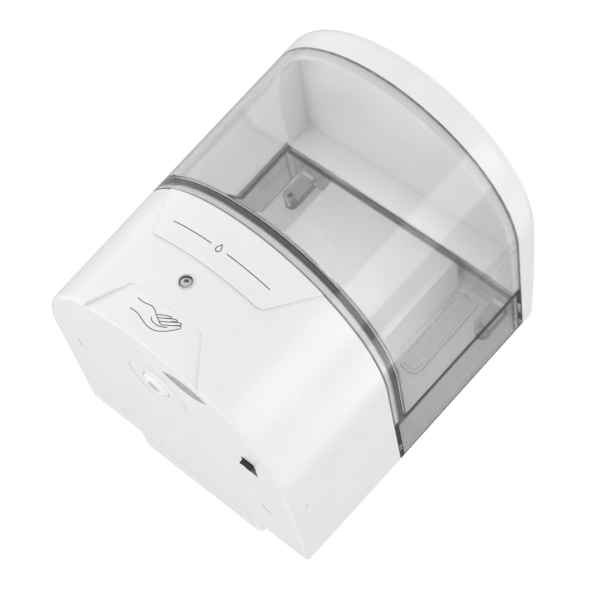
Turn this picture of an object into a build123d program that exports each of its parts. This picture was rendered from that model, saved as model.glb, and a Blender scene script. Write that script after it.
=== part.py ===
"""Wall mounted automatic soap dispenser: clear tank over a white pump housing, on a wall bracket."""
import os
from math import acos, cos, pi, radians, sin, sqrt, tan

from build123d import *

os.makedirs("parts", exist_ok=True)

# Sizes in millimetres. The wall is the plane y = 0 and the front faces -Y.
# Heights named *_up are measured from the underside, depths named *_in from the housing's back.

# Housing plan: straight sides, semicircular front, growing slightly towards the lid
base_half = 60.0
seam_growth = 1.2
rim_growth = 2.5
side_flat = 62.2
base_height = 56.1
standoff = 13.0

# General clearances
fit_gap = 0.3
slip_gap = 0.1
shaft_gap = 0.05
press_gap = 0.02

# Lower housing
base_wall = 2.4
base_floor = 2.6
base_edge_r = 1.6
base_rim_t = 1.6
base_rim_root = 3.0
panel_rise = 0.8
panel_top_half = 37.3
panel_low_half = 26.5
panel_height = 20.1
panel_corner_r = 4.0
panel_edge_r = 0.6
recess_top_half = 17.0
recess_low_half = 28.5
recess_top_up = 16.4
recess_top_depth = 1.0
recess_low_depth = 2.3
recess_corner_r = 2.5
recess_edge_r = 0.5
recess_low_bevel = 0.5
dimple_r = 0.9
dimple_depth = 0.4
dimple_in = 42.7
dimple_up = 7.6
collar_r = 14.5
collar_width = 1.2
collar_height = 0.3
back_cover_t = 2.6
cover_screw_edge = 9.0
cover_screw_up = 30.0
boss_block = 8.0
boss_depth = 10.0

# Screws that bite in plastic: head, shank and pilot
head_r = 2.4
head_t = 1.3
head_pocket = 1.4
shank_r = 1.2
shank_hole_r = 1.5
shank_length = 8.0

# Long screws that hold the tank down, in wells from below
well_r = 3.1
well_roof = 4.0
tower_r = 4.6
left_well_from_motor = 1.9
left_well_fore = 1.1
right_well_edge = 15.0
right_well_in = 30.5
tank_boss_r = 4.0
tank_boss_height = 6.1
tank_screw_bite = 6.5
tank_screw_head_r = 2.8
tank_screw_head_t = 2.0
well_plug_sunk = 0.4
well_plug_t = 3.0
well_plug_edge = 0.3

# Tank
tank_wall = 2.2
tank_floor = 2.6
tank_skirt = 3.7
bay_floor = 3.0
tank_fillet = 2.2
tank_edge = 0.4
recess_in = 27.0
shelf_t = 2.2
guide_t = 2.0
right_guide_edge = 13.0
right_guide_w = 8.5
right_guide_length = 42.0
guide_drop = 10.9
guide_wall = 1.6
outlet_stem_r = 4.5
lead_hole_r = 2.5
lead_hole_in = 14.0

# Lid
lid_gap = 0.3
lid_overhang = 0.15
lid_height = 15.0
lid_dome_r = 680.0
lid_dome_in = 68.0
lid_edge_r = 4.6
lid_wall = 2.4
lid_roof = 3.0
skirt_gap = 0.4
skirt_t = 1.6
skirt_depth = 3.6
seal_width = 1.4
seal_depth = 0.9
seal_inset = 0.4

# Lid hinge behind the back plane
hinge_r = 3.0
hinge_behind = 3.6
hinge_rise = 6.0
hinge_pin_r = 1.25
knuckle_width = 19.4
lug_width = 8.0

# Battery case in the recess behind the tank
case_plate_t = 3.0
case_side = 1.3
case_wall = 2.4
case_front_gap = 0.4
case_tail_gap = 3.4
case_head_gap = 1.8
door_t = 2.4
door_ledge = 1.0
door_tail = 5.0
case_screw_drop = 12.8
case_screw_edge = 8.35
case_boss_w = 6.3
case_boss_depth = 7.5
tongue_x = 45.0
tongue_w = 10.0
tongue_t = 1.6
tongue_bite = 1.8
tongue_in = 0.7
cell_r = 7.1
cell_pitch = 14.8
cell_body = 48.8
nub_r = 2.6
nub_height = 1.2
cell_in = 10.2
spring_room = 7.3
cradle_t = 2.0
cradle_gap = 13.0
contact_t = 0.5
contact_width = 9.0

# Wall bracket
bracket_half = 33.0
bracket_plate = 3.0
bracket_wall = 2.5
bracket_gap = 0.4
bracket_corner_r = 3.0
ear_height = 24.0
wall_hole_r = 2.25
wall_hole_x = 40.0
wall_hole_z = 80.0
stud_edge = 16.0
stud_neck = 5.4
stud_neck_out = 3.6
stud_head = 10.0
stud_head_t = 2.8
stud_drop = 15.9
stud_height = 12.0
socket_over = 4.0
socket_width = 16.0
socket_web = 2.6

# Gear pump and motor
pump_r = 13.0
pump_pad = 2.0
gear_teeth = 12
gear_module = 1.25
gear_pressure = 25.0
gear_addendum = 0.9
gear_dedendum = 1.2
gear_backlash = 0.12
gear_width = 7.8
chamber_width = 8.2
chamber_gap = 0.33
pump_back = 4.9
pump_cover_t = 3.9
shaft_r = 1.5
pin_bite = 2.4
seal_r = 4.0
seal_t = 2.4
pump_screw_r = 1.0
pump_screw_circle = 11.0
pump_head_r = 1.8
pump_head_t = 1.4
motor_r = 12.0
motor_length = 27.0
motor_edge = 1.0
motor_tail_r = 4.0
motor_tail = 2.0
motor_can = 1.2
magnet_t = 1.6
magnet_length = 18.0
magnet_split = 6.0
rotor_gap = 0.6
rotor_length = 14.0
rotor_slots = 3
rotor_slot = 1.4
rotor_core_r = 3.4
cradle_width = 3.0
cradle_from_motor = 8.0

# Soap path
tube_r = 3.5
tube_bore_r = 2.4
tube_bend = 6.0
barb_bore_r = 1.5
nipple_length = 2.4
nozzle_run = 9.0
outlet_run = 11.0
outlet_gap = 1.8
nozzle_flange_r = 9.0
nozzle_flange_t = 2.0
nozzle_r = 6.2
nozzle_tip_r = 4.2
nozzle_drop = 1.2
nozzle_barb = 12.0
valve_r = 2.9
valve_seat_up = 2.0
valve_collar = 1.2
valve_lip_w = 3.6
valve_lip_t = 0.7
valve_set_back = 0.4
outlet_flange_r = 7.0
outlet_flange_t = 2.0
outlet_seal_t = 0.8
outlet_seal_inset = 0.5
outlet_nut_r = 7.5
outlet_nut_t = 3.4
outlet_barb = 8.0
strainer_r = 5.2
strainer_height = 5.0
strainer_wall = 1.0
strainer_slot = 1.4
strainer_slots = 8

# Electronics
board_from_front = 12.2
board_t = 1.6
board_half = 26.0
board_low_up = 12.0
board_drop = 10.1
board_post_x = 18.0
board_post_drop = 16.1
board_post_r = 2.4
board_post_root = 0.4
board_post_bite = 1.0
board_screw_r = 0.85
board_head_r = 1.9
board_head_t = 1.4
led_up = 27.0
led_r = 2.5
led_flange_r = 2.9
led_flange_t = 1.0
led_lead_r = 0.3
led_lead_x = 1.27
led_stand = 1.8
led_proud = 1.0
bezel_t = 0.45
bezel_proud = 0.35
bezel_back = 1.4
chip_w = 11.0
chip_h = 8.0
chip_t = 1.6
plug_w = 12.0
plug_h = 6.0
plug_t = 6.0
can_r = 3.2
can_length = 9.0
window_x = 19.8
window_from_front = 16.2
window_half = 10.75
window_bulge = 4.2
window_flange = 1.4
window_flange_t = 1.0
window_sunk = 0.3
sensor_board_up = 13.0
sensor_board_low_x = 8.0
sensor_board_high_x = 29.5
sensor_board_depth = 9.4
sensor_pitch = 10.0
sensor_lens_up = 4.4

# Power switch behind a window in the underside
switch_edge = 16.6
switch_fore = 7.7
switch_wall = 1.45
switch_body_up = 8.0
switch_cavity_up = 5.0
switch_frame_t = 1.2
switch_frame_up = 3.5
rocker_pivot_up = 4.2
rocker_half = 4.4
rocker_w = 5.5
rocker_tilt = 12.0
rocker_shoulder = 1.2
rocker_crest = 1.8
rocker_crest_half = 1.6
rocker_pin_r = 1.0
rocker_pin_bite = 0.6
tab_w = 3.6
tab_t = 0.8
tab_length = 6.0
tab_pitch = 6.0

# Levels, planes and places that follow from the sizes
seam_half = base_half + seam_growth
rim_half = base_half + rim_growth
cell_half = 1.5 * cell_pitch + cell_r + case_side
case_half = cell_half + case_wall
case_height = 2 * case_wall + contact_t + nub_height + cell_body + spring_room
bay_height = case_tail_gap + door_tail + case_height + case_head_gap
tank_height = bay_floor + bay_height + shelf_t
bracket_height = base_height + bay_floor + bay_height - stud_drop + socket_over
front_in = side_flat + base_half
y_back = -standoff
y_flat = y_back - side_flat
y_space = y_back - recess_in - tank_wall
y_board = y_back - front_in + board_from_front
y_window = y_back - front_in + window_from_front
y_outlet = y_space - outlet_flange_r - outlet_gap
y_pump = y_outlet - outlet_run - pump_r
y_nozzle = y_pump - pump_r - nozzle_run
y_switch = y_flat - switch_fore
switch_x = base_half - switch_edge
tilt = radians(rocker_tilt)
rocker_face = rocker_pivot_up / cos(tilt)
rocker_end = rocker_face + rocker_half * tan(tilt)
rocker_reach = rocker_half * cos(tilt) + rocker_end * sin(tilt)
rocker_pin = fit_gap + rocker_pin_bite
switch_window_w = rocker_w + 2 * fit_gap
switch_window_l = 2 * (rocker_reach + fit_gap)
switch_body_w = switch_window_w + 2 * switch_wall
switch_body_l = switch_window_l + 2 * switch_wall
stud_x = base_half - stud_edge
ear_half = stud_x + socket_width / 2
cover_screw_x = base_half - cover_screw_edge
case_screw_x = base_half - case_screw_edge
z_under = -bracket_height / 2
z_seam = z_under + base_height
z_rim = z_seam + tank_height
z_slab = z_seam + tank_skirt
z_space = z_slab + tank_floor
z_bay_low = z_seam + bay_floor
z_bay_top = z_bay_low + bay_height
z_floor = z_under + base_floor
z_tower = z_seam - tank_boss_height
z_well = z_tower - well_roof
z_board_low = z_under + board_low_up
z_board_top = z_seam - board_drop
z_post = z_seam - board_post_drop
z_case_low = z_bay_low + case_tail_gap + door_tail
z_case_top = z_case_low + case_height
z_stud_low = z_bay_top - stud_drop - stud_height


def half_at(z):
    """Half width of the housing at height z."""
    if z <= z_seam:
        return base_half + (seam_half - base_half) * (z - z_under) / base_height
    return seam_half + (rim_half - seam_half) * (z - z_seam) / tank_height


def below_skin(point):
    """How deep a point lies under the lower housing's curved front."""
    return half_at(point.Z) - sqrt(point.X**2 + (point.Y - y_flat) ** 2)


def plan(half, z, back=y_back):
    """Housing plan at height z: flat back, straight sides, semicircular front."""
    with BuildSketch(Plane.XY.offset(z)) as outline:
        with BuildLine():
            Polyline((-half, y_flat), (-half, back), (half, back), (half, y_flat))
            ThreePointArc((half, y_flat), (0, y_flat - half), (-half, y_flat))
        make_face()
    return outline.sketch


def back_plate(inset, low, top):
    """Flat plate outline in the back plane that follows the housing's sides."""
    low_half = half_at(low) - inset
    top_half = half_at(top) - inset
    with BuildSketch(Plane.XZ.offset(-y_back)) as outline:
        with BuildLine():
            Polyline((-low_half, low), (low_half, low), (top_half, top), (-top_half, top), close=True)
        make_face()
    return outline.sketch


def trapezoid(low_half, low, top_half, top, corner, y):
    """Front panel outline with rounded corners, seen from the front."""
    with BuildSketch(Plane.XZ.offset(-y)) as outline:
        with BuildLine():
            Polyline((-low_half, low), (low_half, low), (top_half, top), (-top_half, top), close=True)
        make_face()
        fillet(outline.vertices(), corner)
    return outline.sketch


def eye(grow, z):
    """Eye shaped outline of the sensor window."""
    left = (window_x - window_half - grow, y_window)
    right = (window_x + window_half + grow, y_window)
    with BuildSketch(Plane.XY.offset(z)) as outline:
        with BuildLine():
            ThreePointArc(left, (window_x, y_window + window_bulge + grow), right)
            ThreePointArc(right, (window_x, y_window - window_bulge - grow), left)
        make_face()
    return outline.sketch


# Housing pieces
# Raised panel on the front of the lower housing
with BuildPart() as front_panel:
    loft([plan(base_half + panel_rise, z_under), plan(seam_half + panel_rise, z_seam)], ruled=True)
    panel_slope = (panel_top_half - panel_low_half) / panel_height
    over = panel_corner_r * 3
    add(
        extrude(
            trapezoid(
                panel_low_half,
                z_seam - panel_height,
                panel_top_half + panel_slope * over,
                z_seam + over,
                panel_corner_r,
                y_flat,
            ),
            amount=base_half + seam_half,
            mode=Mode.PRIVATE,
        ),
        mode=Mode.INTERSECT,
    )
    panel_face = front_panel.faces().filter_by(GeomType.CONE).sort_by(Axis.Y)[0]
    fillet(panel_face.edges().filter_by(lambda e: e.center().Z < z_seam - panel_rise), panel_edge_r)

# Sunk panel with the hand sign, deeper towards the underside
with BuildPart() as hand_recess:
    recess_slope = (recess_low_half - recess_top_half) / recess_top_up
    over = recess_corner_r * 3
    add(
        extrude(
            trapezoid(
                recess_low_half + recess_slope * over,
                z_under - over,
                recess_top_half,
                z_under + recess_top_up,
                recess_corner_r,
                y_flat,
            ),
            amount=base_half + seam_half,
            mode=Mode.PRIVATE,
        ),
    )
    depth_slope = (recess_low_depth - recess_top_depth) / recess_top_up
    loft(
        [
            plan(base_half - recess_low_depth - depth_slope * over, z_under - over),
            plan(half_at(z_under + recess_top_up) - recess_top_depth + depth_slope, z_under + recess_top_up + 1),
        ],
        ruled=True,
        mode=Mode.SUBTRACT,
    )

pump_low_x = -chamber_width / 2 - pump_back
pump_high_x = chamber_width / 2
left_well_x = pump_low_x - motor_length - motor_tail - left_well_from_motor - tower_r
well_points = [
    (left_well_x, y_flat - left_well_fore),
    (base_half - right_well_edge, y_back - right_well_in),
]
cover_screw_points = [(-cover_screw_x, z_under + cover_screw_up), (cover_screw_x, z_under + cover_screw_up)]
board_post_points = [(-board_post_x, z_post), (board_post_x, z_post)]
z_pump = z_floor + pump_pad + pump_r
gear_pitch_r = gear_teeth * gear_module / 2
gear_tip_r = gear_pitch_r + gear_addendum * gear_module
gear_root_r = gear_pitch_r - gear_dedendum * gear_module
z_idler = z_pump + 2 * gear_pitch_r
z_port = z_pump + gear_pitch_r
led_half = half_at(z_under + led_up)
bezel_r = led_r + slip_gap + bezel_t

with BuildPart() as base_shell:
    loft([plan(base_half, z_under), plan(seam_half, z_seam)], ruled=True)
    lower_edges = base_shell.faces().sort_by(Axis.Z)[0].edges().sort_by(Axis.Y)[:-1]
    fillet(lower_edges, base_edge_r)
    add(hand_recess.part, mode=Mode.SUBTRACT)
    recess_low = base_shell.edges(Select.LAST).filter_by(
        lambda e: abs(e.center().Z - z_under) < press_gap and abs(e.center().X) < press_gap
    )
    chamfer(recess_low, recess_low_bevel)
    recess_crease = base_shell.edges().filter_by(
        lambda e: abs(e.center().X) < recess_low_half
        and abs(below_skin(e.center())) < press_gap
        and z_under + base_edge_r < e.center().Z < z_under + recess_top_up + press_gap
    )
    fillet(recess_crease, recess_edge_r)
    add(front_panel.part)
    # hollow, open to the top and to the back
    loft(
        [
            plan(half_at(z_floor) - base_wall, z_floor, y_back + 1),
            plan(seam_half - base_wall, z_seam, y_back + 1),
        ],
        ruled=True,
        mode=Mode.SUBTRACT,
    )
    # rim that stands inside the tank's skirt
    rim_outer = seam_half - tank_wall - fit_gap
    rim_inner = rim_outer - base_rim_t
    rim_back = y_space - fit_gap
    rim_top = z_slab - fit_gap
    extrude(plan(seam_half - base_wall / 2, z_seam - base_rim_root, rim_back), amount=base_rim_root)
    extrude(plan(rim_outer, z_seam, rim_back), amount=rim_top - z_seam)
    extrude(
        plan(rim_inner, z_seam - base_rim_root, y_back),
        amount=rim_top - z_seam + base_rim_root,
        mode=Mode.SUBTRACT,
    )
    # towers for the tank's screws
    with BuildSketch(Plane.XY.offset(z_floor)):
        with Locations(*well_points):
            Circle(tower_r)
    extrude(amount=z_tower - z_floor)
    # blocks for the back cover's screws
    with BuildSketch(Plane.XZ.offset(-(y_back - back_cover_t))):
        block_in = cover_screw_x - boss_block / 2
        block_out = half_at(z_under + cover_screw_up) - base_wall / 2
        for side in (-1, 1):
            with Locations((side * (block_in + block_out) / 2, z_under + cover_screw_up)):
                Rectangle(block_out - block_in, boss_block)
    extrude(amount=boss_depth)
    # posts for the control board
    with BuildSketch(Plane.XZ.offset(-(y_board - board_t))):
        with Locations(*board_post_points):
            Circle(board_post_r)
    post_wall = half_at(z_post) - base_wall
    post_end = y_flat - sqrt(post_wall**2 - (board_post_x - board_post_r) ** 2) - board_post_root
    extrude(amount=y_board - board_t - post_end)
    # pump seat and motor cradle
    with BuildSketch(Plane.XY.offset(z_floor)):
        with Locations(((pump_low_x + pump_high_x + pump_cover_t) / 2, y_pump)):
            Rectangle(pump_high_x + pump_cover_t - pump_low_x, 2 * pump_r)
    extrude(amount=pump_pad)
    with BuildSketch(Plane.YZ.offset(pump_low_x - cradle_from_motor - cradle_width)):
        with Locations((y_pump, (z_floor + z_pump) / 2)):
            Rectangle(2 * motor_r - base_floor, z_pump - z_floor)
        with Locations((y_pump, z_pump)):
            Circle(motor_r + slip_gap, mode=Mode.SUBTRACT)
    extrude(amount=cradle_width)
    # frame that holds the switch
    with BuildSketch(Plane.XY.offset(z_floor)):
        with Locations((switch_x, y_switch)):
            frame_w = switch_body_w + 2 * slip_gap
            frame_l = switch_body_l + 2 * slip_gap
            Rectangle(frame_w + 2 * switch_frame_t, frame_l + 2 * switch_frame_t)
            Rectangle(frame_w, frame_l, mode=Mode.SUBTRACT)
    extrude(amount=switch_frame_up)
    # collar round the nozzle
    with BuildSketch(Plane.XY.offset(z_under)):
        with Locations((0, y_nozzle)):
            Circle(collar_r)
    extrude(amount=-collar_height)
    with BuildSketch(Plane.XY.offset(z_under)):
        with Locations((0, y_nozzle)):
            Circle(collar_r - collar_width)
    extrude(amount=-collar_height, mode=Mode.SUBTRACT)
    # nozzle hole, screw wells, sensor window and switch opening
    with BuildSketch(Plane.XY.offset(z_under)):
        with Locations((0, y_nozzle)):
            Circle(nozzle_r + fit_gap)
        with Locations((switch_x, y_switch)):
            Rectangle(switch_window_w, switch_window_l)
    extrude(amount=base_floor, mode=Mode.SUBTRACT)
    with BuildSketch(Plane.XY.offset(z_under)):
        with Locations(*well_points):
            Circle(well_r)
    extrude(amount=z_well - z_under, mode=Mode.SUBTRACT)
    with BuildSketch(Plane.XY.offset(z_under)):
        with Locations(*well_points):
            Circle(shank_hole_r)
    extrude(amount=z_tower - z_under, mode=Mode.SUBTRACT)
    extrude(eye(slip_gap, z_under), amount=base_floor, mode=Mode.SUBTRACT)
    # indicator hole, screw pilots and side dimples
    with BuildSketch(Plane.XZ.offset(-y_flat)):
        with Locations((0, z_under + led_up)):
            Circle(bezel_r + press_gap)
    extrude(amount=base_half + seam_half, mode=Mode.SUBTRACT)
    with BuildSketch(Plane.XZ.offset(-(y_back - back_cover_t))):
        with Locations(*cover_screw_points):
            Circle(shank_r + shaft_gap)
    extrude(amount=shank_length, mode=Mode.SUBTRACT)
    with BuildSketch(Plane.XZ.offset(-(y_board - board_t))):
        with Locations(*board_post_points):
            Circle(board_screw_r + shaft_gap)
    extrude(amount=y_board - board_t - post_end - board_post_bite, mode=Mode.SUBTRACT)
    dimple_half = half_at(z_under + dimple_up)
    with BuildSketch(Plane.YZ.offset(dimple_half - dimple_depth)):
        with Locations((y_back - dimple_in, z_under + dimple_up)):
            Circle(dimple_r)
    extrude(amount=2 * dimple_depth, mode=Mode.SUBTRACT)
    with BuildSketch(Plane.YZ.offset(-dimple_half + dimple_depth)):
        with Locations((y_back - dimple_in, z_under + dimple_up)):
            Circle(dimple_r)
    extrude(amount=-2 * dimple_depth, mode=Mode.SUBTRACT)
base_shell.part.label = "base_shell"
export_step(base_shell.part, "parts/base_shell.step")

with BuildPart() as base_back_cover:
    extrude(back_plate(base_wall + fit_gap, z_floor + slip_gap, z_seam - slip_gap), amount=back_cover_t)
    with BuildSketch(Plane.XZ.offset(-y_back)):
        with Locations(*cover_screw_points):
            Circle(head_r + slip_gap)
    extrude(amount=head_pocket, mode=Mode.SUBTRACT)
    with BuildSketch(Plane.XZ.offset(-y_back)):
        with Locations(*cover_screw_points):
            Circle(shank_hole_r)
    extrude(amount=back_cover_t, mode=Mode.SUBTRACT)
base_back_cover.part.label = "base_back_cover"
export_step(base_back_cover.part, "parts/base_back_cover.step")

with BuildPart() as cover_screws:
    with BuildSketch(Plane.XZ.offset(-(y_back - head_pocket))):
        with Locations(*cover_screw_points):
            Circle(head_r)
    extrude(amount=-head_t)
    with BuildSketch(Plane.XZ.offset(-(y_back - head_pocket))):
        with Locations(*cover_screw_points):
            Circle(shank_r)
    extrude(amount=shank_length)
cover_screws.part.label = "cover_screws"
export_step(cover_screws.part, "parts/cover_screws.step")

# Tank
z_case_screw = z_bay_top - case_screw_drop
case_screw_points = [(-case_screw_x, z_case_screw), (case_screw_x, z_case_screw)]
tongue_points = [(-tongue_x, y_back - tongue_in - tongue_t / 2), (tongue_x, y_back - tongue_in - tongue_t / 2)]
y_axis = y_back + hinge_behind
z_axis = z_rim + hinge_rise

with BuildPart() as soap_space:
    loft(
        [
            plan(half_at(z_space) - tank_wall, z_space, y_space),
            plan(rim_half - tank_wall, z_rim, y_space),
        ],
        ruled=True,
    )
    fillet(soap_space.faces().sort_by(Axis.Z)[0].edges(), tank_fillet)

with BuildPart() as tank:
    loft([plan(seam_half, z_seam), plan(rim_half, z_rim)], ruled=True)
    chamfer(tank.faces().sort_by(Axis.Z)[0].edges().sort_by(Axis.Y)[:-1], tank_edge)
    add(soap_space.part, mode=Mode.SUBTRACT)
    # skirt under the soap's floor, with bosses for the long screws from below
    loft(
        [
            plan(seam_half - tank_wall, z_seam, y_space),
            plan(half_at(z_slab) - tank_wall, z_slab, y_space),
        ],
        ruled=True,
        mode=Mode.SUBTRACT,
    )
    with BuildSketch(Plane.XY.offset(z_tower)):
        with Locations(*well_points):
            Circle(tank_boss_r)
    extrude(amount=z_slab - z_tower)
    with BuildSketch(Plane.XY.offset(z_tower)):
        with Locations(*well_points):
            Circle(shank_r + shaft_gap)
    extrude(amount=tank_screw_bite, mode=Mode.SUBTRACT)
    # recess behind the tank's back wall, open to the rear
    extrude(back_plate(tank_wall, z_bay_low, z_bay_top), amount=recess_in, mode=Mode.SUBTRACT)
    # guide loop moulded on the rear of the back wall
    with BuildSketch(Plane.XZ.offset(-(y_back - recess_in))):
        guide_top = z_bay_top - guide_drop
        with Locations((base_half - right_guide_edge, guide_top - right_guide_length / 2)):
            SlotOverall(right_guide_length, right_guide_w, rotation=90)
            SlotOverall(
                right_guide_length - 2 * guide_wall,
                right_guide_w - 2 * guide_wall,
                rotation=90,
                mode=Mode.SUBTRACT,
            )
    extrude(amount=-guide_t)
    # bosses under the shelf for the battery case's screws, and slots for its tongues
    with BuildSketch(Plane.XZ.offset(-(y_back - case_plate_t))):
        with Locations(*case_screw_points):
            Circle(case_boss_w / 2)
        boss_mid = (z_case_screw + z_bay_top) / 2
        with Locations((-case_screw_x, boss_mid), (case_screw_x, boss_mid)):
            Rectangle(case_boss_w, z_bay_top - z_case_screw)
    extrude(amount=case_boss_depth)
    with BuildSketch(Plane.XZ.offset(-(y_back - case_plate_t))):
        with Locations(*case_screw_points):
            Circle(shank_r + shaft_gap)
    extrude(amount=shank_length - case_plate_t + head_pocket + fit_gap, mode=Mode.SUBTRACT)
    with BuildSketch(Plane.XY.offset(z_bay_low)):
        with Locations(*tongue_points):
            Rectangle(tongue_w + 2 * slip_gap, tongue_t + 2 * slip_gap)
    extrude(amount=-tongue_bite - slip_gap, mode=Mode.SUBTRACT)
    # outlet hole and a hole for the battery leads
    with BuildSketch(Plane.XY.offset(z_slab)):
        with Locations((0, y_outlet)):
            Circle(outlet_stem_r + slip_gap)
    extrude(amount=tank_floor, mode=Mode.SUBTRACT)
    with BuildSketch(Plane.XY.offset(z_seam)):
        with Locations((0, y_back - lead_hole_in)):
            Circle(lead_hole_r)
    extrude(amount=bay_floor, mode=Mode.SUBTRACT)
    # hinge lugs on the rear edge of the shelf
    for low_x in (-knuckle_width / 2 - fit_gap - lug_width, knuckle_width / 2 + fit_gap):
        with BuildSketch(Plane.YZ.offset(low_x)):
            with BuildLine():
                Polyline(
                    (y_axis - hinge_r, z_axis),
                    (y_axis - hinge_r, z_rim - tank_edge),
                    (y_back, z_rim - tank_edge),
                    (y_back, z_bay_top),
                    (y_axis + hinge_r, z_axis),
                )
                ThreePointArc((y_axis + hinge_r, z_axis), (y_axis, z_axis + hinge_r), (y_axis - hinge_r, z_axis))
            make_face()
            with Locations((y_axis, z_axis)):
                Circle(hinge_pin_r + shaft_gap, mode=Mode.SUBTRACT)
        extrude(amount=lug_width)
tank.part.label = "tank"
export_step(tank.part, "parts/tank.step")

with BuildPart() as tank_screws:
    with BuildSketch(Plane.XY.offset(z_well)):
        with Locations(*well_points):
            Circle(tank_screw_head_r)
    extrude(amount=-tank_screw_head_t)
    with BuildSketch(Plane.XY.offset(z_well)):
        with Locations(*well_points):
            Circle(shank_r)
    extrude(amount=well_roof + tank_screw_bite - fit_gap)
tank_screws.part.label = "tank_screws"
export_step(tank_screws.part, "parts/tank_screws.step")

with BuildPart() as screw_plugs:
    with BuildSketch(Plane.XY.offset(z_under + well_plug_sunk)):
        with Locations(*well_points):
            Circle(well_r - press_gap)
    extrude(amount=well_plug_t)
    chamfer(screw_plugs.edges().group_by(Axis.Z)[0], well_plug_edge)
screw_plugs.part.label = "screw_plugs"
export_step(screw_plugs.part, "parts/screw_plugs.step")

# Lid
lid_half = rim_half + lid_overhang
z_lid = z_rim + lid_gap
z_roof = z_rim + lid_height - lid_dome_r + sqrt(lid_dome_r**2 - rim_half**2) - lid_roof
skirt_half = rim_half - tank_wall - skirt_gap
skirt_back = y_space - skirt_gap
seal_half = rim_half - seal_inset
seal_back = y_space + tank_wall - seal_inset

with BuildPart() as lid:
    extrude(plan(lid_half, z_lid), amount=lid_height + lid_roof)
    with Locations((0, y_back - lid_dome_in, z_rim + lid_height - lid_dome_r)):
        Sphere(lid_dome_r, mode=Mode.INTERSECT)
    fillet(lid.faces().sort_by(Axis.Z)[-1].edges(), lid_edge_r)
    # plug skirt that drops into the tank's mouth
    extrude(plan(skirt_half, z_rim - skirt_depth, skirt_back), amount=skirt_depth + lid_gap)
    # hollow over the tank and hollow over the shelf
    inner_half = skirt_half - skirt_t
    inner_back = skirt_back - skirt_t
    extrude(
        plan(inner_half, z_rim - skirt_depth, inner_back),
        amount=z_roof - z_rim + skirt_depth,
        mode=Mode.SUBTRACT,
    )
    rear_low = y_space + tank_wall + lid_wall
    rear_high = y_back - lid_wall - lid_wall
    with BuildSketch(Plane.XY.offset(z_lid)):
        with Locations((0, (rear_low + rear_high) / 2)):
            Rectangle(2 * inner_half, rear_high - rear_low)
    extrude(amount=z_roof - z_lid, mode=Mode.SUBTRACT)
    # groove for the seal
    extrude(plan(seal_half, z_lid, seal_back), amount=seal_depth, mode=Mode.SUBTRACT)
    extrude(plan(seal_half - seal_width, z_lid, seal_back - seal_width), amount=seal_depth)
    extrude(plan(inner_half, z_lid, inner_back), amount=seal_depth, mode=Mode.SUBTRACT)
    # hinge knuckle
    with BuildSketch(Plane.YZ.offset(-knuckle_width / 2)):
        with Locations((y_axis, z_axis)):
            Circle(hinge_r)
        with Locations(((y_axis + y_back - lid_wall / 2) / 2, z_axis)):
            Rectangle(y_axis - y_back + lid_wall / 2, 2 * hinge_r)
        with Locations((y_axis, z_axis)):
            Circle(hinge_pin_r + shaft_gap, mode=Mode.SUBTRACT)
    extrude(amount=knuckle_width)
lid.part.label = "lid"
export_step(lid.part, "parts/lid.step")

with BuildPart() as lid_seal:
    extrude(plan(seal_half - slip_gap, z_rim, seal_back - slip_gap), amount=lid_gap + seal_depth)
    extrude(
        plan(seal_half - seal_width + slip_gap, z_rim, seal_back - seal_width + slip_gap),
        amount=lid_gap + seal_depth,
        mode=Mode.SUBTRACT,
    )
lid_seal.part.label = "lid_seal"
export_step(lid_seal.part, "parts/lid_seal.step")

with BuildPart() as lid_hinge_pin:
    pin_half = knuckle_width / 2 + fit_gap + lug_width
    with BuildSketch(Plane.YZ.offset(-pin_half)):
        with Locations((y_axis, z_axis)):
            Circle(hinge_pin_r)
    extrude(amount=2 * pin_half)
lid_hinge_pin.part.label = "lid_hinge_pin"
export_step(lid_hinge_pin.part, "parts/lid_hinge_pin.step")

# Battery case
z_cell_low = z_case_low + case_wall
z_cell_top = z_case_top - case_wall
case_front = y_back - recess_in + case_front_gap
door_screw_z = z_case_low - door_tail / 2
y_cell = y_back - cell_in
stud_points = [(-stud_x, z_stud_low + stud_height / 2), (stud_x, z_stud_low + stud_height / 2)]

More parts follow.
